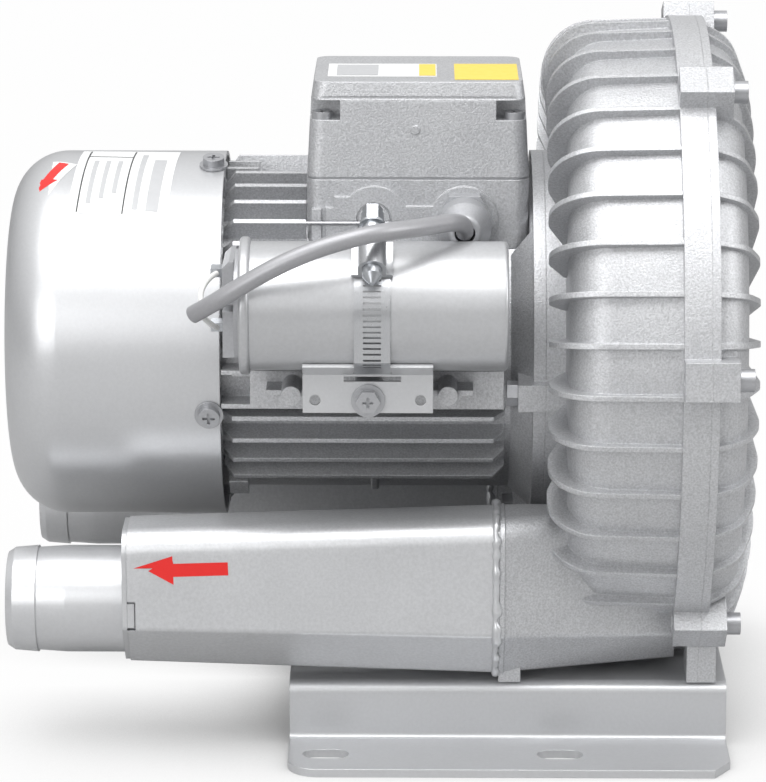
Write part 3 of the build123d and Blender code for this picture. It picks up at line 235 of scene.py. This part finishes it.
def make_finishes(paint):
    """Every finish of the blower, by the record's slot."""
    rough = paint.roughness
    metal = paint.flake
    return {
        # The eighth number of each painted finish sets how far painted shade darkens the pits of its grain
        # Silver enamel sprayed over a die casting: the sandy skin of the casting still shows through, its
        # pits darkened with the most painted shade
        "cast_paint": painted("silver_enamel_on_die_casting", "CFD0D2", "C0C1C4", metal, rough + 0.02,
                              paint.cast_grain, 0.20, 0.26, 0.55),
        # The same enamel on pressed sheet: smooth, with a faint orange peel
        "sheet_paint": painted("silver_enamel_on_pressed_sheet", "CACBCD", "C5C6C8", metal, rough - 0.05,
                               1.2, 0.012, 0.04, 0.5),
        # The silencers' sheet took a heavier coat, which dried with a pebbled skin
        "pebbled_paint": painted("silver_enamel_pebbled_on_sheet", "D0D1D3", "C6C7C9", metal, rough - 0.02,
                                 1.1, 0.06, 0.10, 0.5),
        # Drawn aluminium can under a heavy coat, which dried as orange peel
        "can_paint": painted("silver_enamel_on_drawn_can", "C0C1C3", "B9BABC", metal, rough - 0.04,
                             1.5, 0.03, 0.06, 0.4),
        # Screws painted over with the machine, dull in the recesses
        "painted_screws": painted("silver_enamel_on_screws", "BDBEC1", "9FA0A3", metal + 0.1, rough - 0.06,
                                  0.9, 0.03, 0.06, 0.25),
        # Moulded nylon that the spray has coated
        "gland_plastic": painted("silver_enamel_on_nylon", "B9BABD", "A6A7AA", metal - 0.1, rough + 0.04,
                                 0.9, 0.05, 0.08, 0.4),
        # Rubber sheath under overspray: even grey with a low sheen
        "cord_jacket": painted("silver_overspray_on_rubber", "A4A4A7", "98989B", 0.4, 0.40,
                               0.9, 0.02, 0.05, 0.1),
        # PVC-insulated leads, pale and glossy
        "lead_jacket": plain("pale_pvc_insulation", "E4E4E2", "D2D2D0", 0.0, 0.34, 1.2, 0.01),
        # Stainless strip, rolled lengthwise and left bright
        "bright_steel": plain("rolled_stainless_strip", "C9CACC", "AEB0B3", 0.9, 0.30, 1.4, 0.01, (6, 1, 1)),
        # Zinc plate, blue-white and slightly cloudy
        "zinc_steel": plain("bright_zinc_plate", "C2C5C9", "A9ACB0", 0.95, 0.30, 1.2, 0.01),
        # Turned and ground steel shaft with marks round it
        "shaft_steel": plain("ground_carbon_steel", "B4B5B8", "9A9B9E", 1.0, 0.26, 2.0, 0.01, (8, 1, 1)),
        # Hardened rings polished to a mirror
        "bearing_steel": plain("polished_bearing_steel", "C8CACC", "B6B8BA", 1.0, 0.14, 2.0, 0.004),
        # Cast aluminium, machined on its faces
        "impeller_alloy": plain("machined_cast_aluminium", "BFC1C3", "A8AAAC", 0.9, 0.38, 1.2, 0.03),
        # Stacked electrical sheet, whose edges draw fine lines across the shaft
        "lamination_steel": plain("stacked_electrical_sheet", "6E7074", "4E5054", 0.8, 0.46, 1.0, 0.05,
                                  (3, 0.2, 0.2)),
        # Copper windings under amber varnish
        "winding_enamel": plain("varnished_copper_winding", "8A4A22", "5C2C12", 0.25, 0.34, 1.2, 0.2,
                                (0.6, 1, 1)),
        # Glass-filled nylon, matt black
        "fan_plastic": plain("glass_filled_nylon", "1E1E20", "151516", 0.0, 0.55, 0.8, 0.03),
        # Phenolic moulding, dark and slightly glossy
        "black_plastic": plain("phenolic_moulding", "1B1A1A", "121111", 0.0, 0.38, 1.0, 0.02),
        # Nitrile rubber, dull black
        "black_rubber": plain("nitrile_rubber", "161616", "0F0F0F", 0.0, 0.72, 0.9, 0.03),
        # Turned brass studs
        "brass_studs": plain("turned_brass", "C79A48", "A87D34", 1.0, 0.28, 1.0, 0.01),
        # Open-cell foam: pores of about a millimetre
        "acoustic_foam": plain("open_cell_foam", "2A2A2C", "0E0E0F", 0.0, 0.95, 1.0, 0.7),
    }


def label_finish(name, colour, shade, roughness):
    """Printed vinyl: an even colour under a thin gloss film, with slight ripple."""
    return plain(name, colour, shade, 0.0, roughness, 3.0, 0.01)


def finish_named(slot):
    """The finish that the paint operator made for a slot."""
    return bpy.data.materials[frame["finishes"][slot]]


# Meshes

def mesh_object(name, mesh, material):
    """Puts a finished mesh in the scene, riding on the frame."""
    piece = bpy.data.objects.new(name, mesh)
    bpy.context.scene.collection.objects.link(piece)
    mesh.materials.clear()
    mesh.materials.append(material)
    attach(piece, "frame")
    return piece


def cowl_radius(x):
    """The cowl's outer radius at a station along the shaft, in millimetres."""
    if x >= COWL_FLAT_X:
        return COWL_RADIUS
    return COWL_RADIUS - COWL_CORNER + math.sqrt(COWL_CORNER ** 2 - (COWL_FLAT_X - x) ** 2)


def on_cowl(along, around, lift):
    """A place on the cowl from the distance along the shaft and the arc round it."""
    angle = around / COWL_RADIUS
    radius = cowl_radius(along) + lift
    return Vector((along, -radius * math.cos(angle), SHAFT_HEIGHT + radius * math.sin(angle))) * MM


def on_lid(along, across, lift):
    """A place on the terminal box's lid."""
    return Vector((along, across, LID_TOP_Z + lift)) * MM


def on_silencer(along, up, lift):
    """A place on the near silencer's flat side, which widens towards the joint."""
    widen = (along - SILENCER_X0) / (JOINT_X - SILENCER_X0)
    return Vector((along, -(PORT_Y + SILENCER_SIDE + widen) - lift, up)) * MM


def decal(name, corners, place, lift, material, step=BENT_STEP):
    """A thin label cut to its corners, laid on a curved or flat surface and given an edge of its own."""
    form = bmesh.new()
    form.faces.new([form.verts.new((a, b, 0)) for a, b in corners])
    for axis in (0, 1):
        values = [corner[axis] for corner in corners]
        spot = min(values) + step
        while spot < max(values):
            normal = (1, 0, 0) if axis == 0 else (0, 1, 0)
            point = [component * spot for component in normal]
            geometry = form.verts[:] + form.edges[:] + form.faces[:]
            bmesh.ops.bisect_plane(form, geom=geometry, plane_co=point, plane_no=normal)
            spot += step
    flat = [(vertex, vertex.co.x, vertex.co.y) for vertex in form.verts]
    for vertex, a, b in flat:
        vertex.co = place(a, b, lift)
    bmesh.ops.triangulate(form, faces=form.faces)
    form.normal_update()
    centre = sum((place(a, b, lift) for a, b in corners), Vector()) / len(corners)
    inward = sum((place(a, b, lift - 1.0) for a, b in corners), Vector()) / len(corners)
    facing = sum((face.normal for face in form.faces), Vector())
    if facing.dot(centre - inward) < 0:
        bmesh.ops.reverse_faces(form, faces=form.faces)
    bmesh.ops.solidify(form, geom=form.faces[:], thickness=LABEL_THICKNESS * MM)
    bmesh.ops.recalc_face_normals(form, faces=form.faces)
    mesh = bpy.data.meshes.new(name)
    form.to_mesh(mesh)
    form.free()
    return mesh_object(name, mesh, material)


def turned_corners(corners, centre, direction):
    """Corners drawn along and across an arrow, moved to its centre and direction."""
    length = math.hypot(*direction)
    ux, uy = direction[0] / length, direction[1] / length
    return [(centre[0] + a * ux - b * uy, centre[1] + a * uy + b * ux) for a, b in corners]


def arrow(length, width, shaft, head):
    """An arrow's outline that points along the first axis."""
    tip = length / 2
    return [(-tip, -shaft / 2), (tip - head, -shaft / 2), (tip - head, -width / 2), (tip, 0),
            (tip - head, width / 2), (tip - head, shaft / 2), (-tip, shaft / 2)]


def box_corners(x0, x1, y0, y1):
    """The corners of a plain rectangle."""
    return [(x0, y0), (x1, y0), (x1, y1), (x0, y1)]


# Settings

class BlowerPaint(bpy.types.PropertyGroup):
    """Sizes of the paint's grain and its shine."""
    flake: FloatProperty(
        name="Flake", description="How metallic the paint is", default=0.62, min=0, max=1)
    roughness: FloatProperty(
        name="Roughness", description="Mean roughness of the paint", default=0.40, min=0.1, max=1)
    cast_grain: FloatProperty(
        name="Casting grain (mm)", description="Grain of the cast skin", default=0.72, min=0.2)


class BlowerCord(bpy.types.PropertyGroup):
    """The capacitor's cord."""
    diameter: FloatProperty(name="Diameter", description="Cord diameter", default=0.0063, unit="LENGTH")
    length: FloatProperty(name="Length", description="Cord length", default=0.1428, unit="LENGTH")
    steps: IntProperty(name="Smoothness", description="Steps between route points", default=12, min=2)


class BlowerLabels(bpy.types.PropertyGroup):
    """Sizes of the labels."""
    arrow_length: FloatProperty(
        name="Arrow length (mm)", description="Flow arrow's length", default=28.4, min=5)
    arrow_width: FloatProperty(
        name="Arrow width (mm)", description="Flow arrow's width", default=10.7, min=2)
    lift: FloatProperty(
        name="Lift (mm)", description="Height of a label over its surface", default=0.14, min=0.02)


class BlowerSealant(bpy.types.PropertyGroup):
    """The bead of sealant round each silencer joint."""
    radius: FloatProperty(name="Radius", description="Bead radius", default=0.0013, unit="LENGTH")
    lump: FloatProperty(name="Lumps", description="How far the bead wanders", default=0.0026, unit="LENGTH")
    seed: IntProperty(name="Seed", description="Pattern of the lumps", default=7)


class BlowerStudio(bpy.types.PropertyGroup):
    """Light levels of the studio."""
    key: FloatProperty(
        name="Key light", description="Power of the overhead softbox", default=25.0, unit="POWER")
    fill: FloatProperty(
        name="Fill light", description="Power of the front softbox", default=11.0, unit="POWER")
    room: FloatProperty(
        name="Room", description="Strength of the room light", default=0.5, min=0)
    backdrop: FloatVectorProperty(
        name="Backdrop", description="Floor colour", subtype="COLOR", default=(0.5, 0.5, 0.5), size=3)


class BlowerSettings(bpy.types.PropertyGroup):
    """All the settings of the blower."""
    paint: PointerProperty(type=BlowerPaint)
    cord: PointerProperty(type=BlowerCord)
    labels: PointerProperty(type=BlowerLabels)
    sealant: PointerProperty(type=BlowerSealant)
    studio: PointerProperty(type=BlowerStudio)


# Operators

class BLOWER_OT_finishes(bpy.types.Operator):
    """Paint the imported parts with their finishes"""
    bl_idname = "blower.finishes"
    bl_label = "Paint the parts"

    def execute(self, context):
        finishes = make_finishes(context.scene.blower.paint)
        frame["finishes"] = {slot: material.name for slot, material in finishes.items()}
        slots = {row["node"]: row["material_slot"] for row in frame["record"]["subparts"]}
        # The blower was sprayed when it was whole, so its gasket's edge is silver as well
        sprayed = {"outlet_silencer_shell": "pebbled_paint", "inlet_silencer_shell": "pebbled_paint",
                   "lid_gasket": "gland_plastic"}
        for node, piece in frame["nodes"].items():
            finish = finishes[sprayed.get(node, slots[node])]
            if not piece.material_slots:
                piece.data.materials.append(finish)
            for place in piece.material_slots:
                place.material = finish
        return {"FINISHED"}


class BLOWER_OT_cord(bpy.types.Operator):
    """Lay the capacitor's cord"""
    bl_idname = "blower.cord"
    bl_label = "Lay the cord"

    def execute(self, context):
        cord = context.scene.blower.cord
        curve = bpy.data.curves.new("capacitor_cord_line", "CURVE")
        curve.dimensions = "3D"
        curve.resolution_u = cord.steps
        curve.bevel_depth = cord.diameter / 2
        curve.bevel_resolution = 8
        curve.use_fill_caps = True
        line = curve.splines.new("NURBS")
        line.points.add(len(CORD_ROUTE) - 1)
        for point, place in zip(line.points, CORD_ROUTE):
            point.co = (*[value * MM for value in place], 1)
        line.order_u = 3
        line.use_endpoint_u = True
        curve.materials.append(finish_named("cord_jacket"))
        piece = bpy.data.objects.new("capacitor_cord_line", curve)
        context.scene.collection.objects.link(piece)
        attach(piece, "frame")
        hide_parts("capacitor_cord")
        return {"FINISHED"}


class BLOWER_OT_labels(bpy.types.Operator):
    """Stick on the flow arrows and the blank labels"""
    bl_idname = "blower.labels"
    bl_label = "Stick on the labels"

    def execute(self, context):
        labels = context.scene.blower.labels
        lift = labels.lift
        # Vinyl labels: flat bright colours under a thin clear film
        prints = {
            "white": label_finish("white_vinyl_label", "E9EAEA", "E4E5E5", 0.36),
            "red": label_finish("red_vinyl_label", "E2231F", "D81E1B", 0.38),
            "yellow": label_finish("yellow_vinyl_label", "EBCF55", "E6C94C", 0.36),
            "ink": label_finish("black_label_ink", "3A3A3C", "303032", 0.45),
            "pale": label_finish("pale_grey_label_print", "B9BABC", "AFB0B2", 0.42),
        }
        length, width = labels.arrow_length, labels.arrow_width
        flow = turned_corners(arrow(length, width, width * 0.45, length * 0.31), FLOW_PLACE, FLOW_HEADING)
        decal("flow_arrow", flow, on_silencer, lift, prints["red"])
        sticker = turned_corners(box_corners(*TURNING_LABEL), TURNING_PLACE, TURNING_HEADING)
        decal("turning_label", sticker, on_cowl, lift, prints["white"])
        turning = turned_corners(arrow(*TURNING_ARROW), TURNING_PLACE, TURNING_HEADING)
        decal("turning_arrow", turning, on_cowl, lift * 2, prints["red"])

        # The rating label was stuck on at a slant
        x, y = RATING_PLACE
        for name, (x0, x1), (y0, y1), layer, look in RATING_FIELDS:
            straight = box_corners(x0 - x, x1 - x, y0 - y, y1 - y)
            corners = turned_corners(straight, RATING_PLACE, RATING_SLANT)
            decal(name, corners, on_cowl, lift * layer, prints[look], RATING_STEP)
        for name, (x0, x1), (y0, y1), layer, look in LID_FIELDS:
            decal(name, box_corners(x0, x1, y0, y1), on_lid, lift * layer, prints[look], FLAT_STEP)
        return {"FINISHED"}


def sealant_tree(material):
    """Geometry Nodes that turn a joint's outline into a wandering bead of sealant."""
    tree = bpy.data.node_groups.new("joint_sealant", "GeometryNodeTree")
    face = tree.interface
    face.new_socket("Geometry", in_out="INPUT", socket_type="NodeSocketGeometry")
    for name, value in (("Corner radius", 0.006), ("Bead radius", 0.001), ("Lumps", 0.001)):
        socket = face.new_socket(name, in_out="INPUT", socket_type="NodeSocketFloat")
        socket.default_value = value
    seed = face.new_socket("Seed", in_out="INPUT", socket_type="NodeSocketInt")
    seed.default_value = 1
    face.new_socket("Geometry", in_out="OUTPUT", socket_type="NodeSocketGeometry")
    entry = add(tree, "NodeGroupInput")
    rounded = add(tree, "GeometryNodeFilletCurve", {
        "Curve": entry.outputs["Geometry"], "Radius": entry.outputs["Corner radius"], "Count": 6,
        "Limit Radius": True}, mode="POLY")
    even = add(tree, "GeometryNodeResampleCurve", {
        "Curve": rounded.outputs["Curve"], "Length": SEALANT_STEP}, mode="LENGTH")
    place = add(tree, "GeometryNodeInputPosition")
    shifted = add(tree, "ShaderNodeVectorMath", {0: place.outputs["Position"], 1: entry.outputs["Seed"]})
    noise = add(tree, "ShaderNodeTexNoise", {
        "Vector": shifted.outputs["Vector"], "Scale": LUMP_SCALE, "Detail": 3.0})
    middle = add(tree, "ShaderNodeVectorMath", {
        0: noise.outputs["Color"], 1: (0.5, 0.5, 0.5)}, operation="SUBTRACT")
    sway = add(tree, "ShaderNodeVectorMath", {
        0: middle.outputs["Vector"], "Scale": entry.outputs["Lumps"]}, operation="SCALE")
    moved = add(tree, "GeometryNodeSetPosition", {
        "Geometry": even.outputs["Curve"], "Offset": sway.outputs["Vector"]})
    thick = add(tree, "ShaderNodeMapRange", {
        "Value": noise.outputs["Fac"], "From Min": 0.3, "From Max": 0.7, "To Min": 0.5, "To Max": 1.7})
    ring = add(tree, "GeometryNodeCurvePrimitiveCircle", {
        "Resolution": 8, "Radius": entry.outputs["Bead radius"]})
    bead = add(tree, "GeometryNodeCurveToMesh", {
        "Curve": moved.outputs["Geometry"], "Profile Curve": ring.outputs["Curve"],
        "Scale": thick.outputs["Result"]})
    whole = add(tree, "GeometryNodeRealizeInstances", {"Geometry": bead.outputs["Mesh"]})
    done = add(tree, "GeometryNodeSetMaterial", {
        "Geometry": whole.outputs["Geometry"], "Material": material})
    add(tree, "NodeGroupOutput", {"Geometry": done.outputs["Geometry"]})
    return tree


class BLOWER_OT_sealant(bpy.types.Operator):
    """Run a bead of sealant round each silencer joint"""
    bl_idname = "blower.sealant"
    bl_label = "Seal the joints"

    def execute(self, context):
        sealant = context.scene.blower.sealant
        material = finish_named("sheet_paint")
        tree = sealant_tree(material)
        for side, name in ((-1, "outlet_sealant"), (1, "inlet_sealant")):
            curve = bpy.data.curves.new(name + "_line", "CURVE")
            curve.dimensions = "3D"
            line = curve.splines.new("POLY")
            line.points.add(len(JOINT_OUTLINE) - 1)
            for point, (across, up) in zip(line.points, JOINT_OUTLINE):
                point.co = ((JOINT_X - 1.2) * MM, side * (PORT_Y + across) * MM, (PORT_Z + up) * MM, 1)
            line.use_cyclic_u = True
            guide = bpy.data.objects.new(name + "_line", curve)
            context.scene.collection.objects.link(guide)
            modifier = guide.modifiers.new("sealant", "NODES")
            modifier.node_group = tree
            names = {item.name: item.identifier for item in tree.interface.items_tree
                     if item.item_type == "SOCKET" and item.in_out == "INPUT"}
            modifier[names["Corner radius"]] = JOINT_CORNER
            modifier[names["Bead radius"]] = sealant.radius
            modifier[names["Lumps"]] = sealant.lump
            modifier[names["Seed"]] = sealant.seed + side
            context.view_layer.update()
            graph = context.evaluated_depsgraph_get()
            mesh = bpy.data.meshes.new_from_object(guide.evaluated_get(graph), depsgraph=graph)
            mesh.name = name
            bpy.data.objects.remove(guide)
            for polygon in mesh.polygons:
                polygon.use_smooth = True
            mesh_object(name, mesh, material)
        return {"FINISHED"}


class BLOWER_OT_studio(bpy.types.Operator):
    """Set up the camera, the floor and the lights"""
    bl_idname = "blower.studio"
    bl_label = "Set up the studio"

    def execute(self, context):
        studio = context.scene.blower.studio
        scene = context.scene
        scene.view_settings.view_transform = "Standard"
        lens = bpy.data.cameras.new("camera")
        lens.sensor_fit = "HORIZONTAL"
        lens.sensor_width = 36.0
        lens.lens = CAMERA_LENS
        lens.clip_end = 20.0
        camera = bpy.data.objects.new("camera", lens)
        camera.location = CAMERA_PLACE
        camera.rotation_euler = [math.radians(angle) for angle in CAMERA_TURN]
        scene.collection.objects.link(camera)
        scene.camera = camera

        floor_mesh = bpy.data.meshes.new("floor")
        corners = [(x, y, 0) for x, y in box_corners(-FLOOR_HALF, FLOOR_HALF, -FLOOR_HALF, FLOOR_HALF)]
        floor_mesh.from_pydata(corners, [], [(0, 1, 2, 3)])
        floor = bpy.data.objects.new("floor", floor_mesh)
        scene.collection.objects.link(floor)
        # The paper shines for the camera only, and less where the blower stands close over it, so it
        # shows as white with a contact shadow
        paper = bpy.data.materials.new("white_paper_backdrop")
        paper.use_nodes = True
        tree = paper.node_tree
        shader = tree.nodes["Principled BSDF"]
        shader.inputs["Base Color"].default_value = (*studio.backdrop, 1)
        shader.inputs["Roughness"].default_value = 0.9
        seen = add(tree, "ShaderNodeLightPath")
        near = add(tree, "ShaderNodeAmbientOcclusion", {"Distance": 0.06}, samples=8)
        open_floor = add(tree, "ShaderNodeMapRange", {
            "Value": near.outputs["AO"], "From Min": 0.35, "From Max": 0.95, "To Min": 0.1, "To Max": 0.985})
        share = add(tree, "ShaderNodeMath", {
            0: seen.outputs["Is Camera Ray"], 1: open_floor.outputs["Result"]}, operation="MULTIPLY")
        glow = add(tree, "ShaderNodeEmission", {"Color": (1, 1, 1, 1), "Strength": 1.0})
        blend = add(tree, "ShaderNodeMixShader", {
            0: share.outputs["Value"], 1: shader.outputs["BSDF"], 2: glow.outputs["Emission"]})
        tree.links.new(blend.outputs["Shader"], tree.nodes["Material Output"].inputs["Surface"])
        floor_mesh.materials.append(paper)

        # A room that is brighter overhead: white to the camera, dimmer where it lights the blower
        world = bpy.data.worlds.new("white_room")
        scene.world = world
        world.use_nodes = True
        tree = world.node_tree
        tree.nodes.clear()
        where = add(tree, "ShaderNodeTexCoord")
        parts = add(tree, "ShaderNodeSeparateXYZ", {"Vector": where.outputs["Generated"]})
        height = add(tree, "ShaderNodeMapRange", {
            "Value": parts.outputs["Z"], "From Min": -0.1, "From Max": 0.7, "To Min": 0.22, "To Max": 1.0})
        level = add(tree, "ShaderNodeMath", {
            0: height.outputs["Result"], 1: studio.room}, operation="MULTIPLY")
        seen = add(tree, "ShaderNodeLightPath")
        clear = add(tree, "ShaderNodeMath", {
            0: seen.outputs["Is Camera Ray"], 1: seen.outputs["Is Transmission Ray"]}, operation="MAXIMUM")
        shine = add(tree, "ShaderNodeMix", {
            "Factor": seen.outputs["Is Glossy Ray"], "A": level.outputs["Value"],
            "B": height.outputs["Result"]}, data_type="FLOAT")
        strength = add(tree, "ShaderNodeMix", {
            "Factor": clear.outputs["Value"], "A": shine.outputs["Result"], "B": 1.0}, data_type="FLOAT")
        room = add(tree, "ShaderNodeBackground", {
            "Color": (1, 1, 1, 1), "Strength": strength.outputs["Result"]})
        add(tree, "ShaderNodeOutputWorld", {"Surface": room.outputs["Background"]})

        for name, setting, share, size, place in SOFTBOXES:
            lamp = bpy.data.lights.new(name, "AREA")
            lamp.shape = "RECTANGLE"
            lamp.size, lamp.size_y = size
            lamp.energy = getattr(studio, setting) * share
            holder = bpy.data.objects.new(name, lamp)
            holder.location = place
            aim = Vector(LIGHT_AIM) - Vector(place)
            holder.rotation_euler = aim.to_track_quat("-Z", "Y").to_euler()
            scene.collection.objects.link(holder)
        return {"FINISHED"}


class BLOWER_PT_panel(bpy.types.Panel):
    """The blower's operators and settings"""
    bl_idname = "BLOWER_PT_panel"
    bl_label = "Blower"
    bl_space_type = "VIEW_3D"
    bl_region_type = "UI"
    bl_category = "Blower"

    def draw(self, context):
        for operator in OPERATORS:
            self.layout.operator(operator.bl_idname)
        settings = context.scene.blower
        for group in (settings.paint, settings.cord, settings.labels, settings.sealant, settings.studio):
            column = self.layout.column(align=True)
            for name in group.bl_rna.properties.keys():
                if name not in ("rna_type", "name"):
                    column.prop(group, name)


GROUPS = (BlowerPaint, BlowerCord, BlowerLabels, BlowerSealant, BlowerStudio, BlowerSettings)
OPERATORS = (
    BLOWER_OT_studio, BLOWER_OT_finishes, BLOWER_OT_cord, BLOWER_OT_labels, BLOWER_OT_sealant)


def register():
    for kind in (*GROUPS, *OPERATORS, BLOWER_PT_panel):
        bpy.utils.register_class(kind)
    bpy.types.Scene.blower = PointerProperty(type=BlowerSettings)


def unregister():
    del bpy.types.Scene.blower
    for kind in reversed((*GROUPS, *OPERATORS, BLOWER_PT_panel)):
        bpy.utils.unregister_class(kind)


def main():
    register()
    bpy.ops.blower.studio()
    bpy.ops.blower.finishes()
    bpy.ops.blower.cord()
    bpy.ops.blower.labels()
    bpy.ops.blower.sealant()


if __name__ == "__main__":
    main()
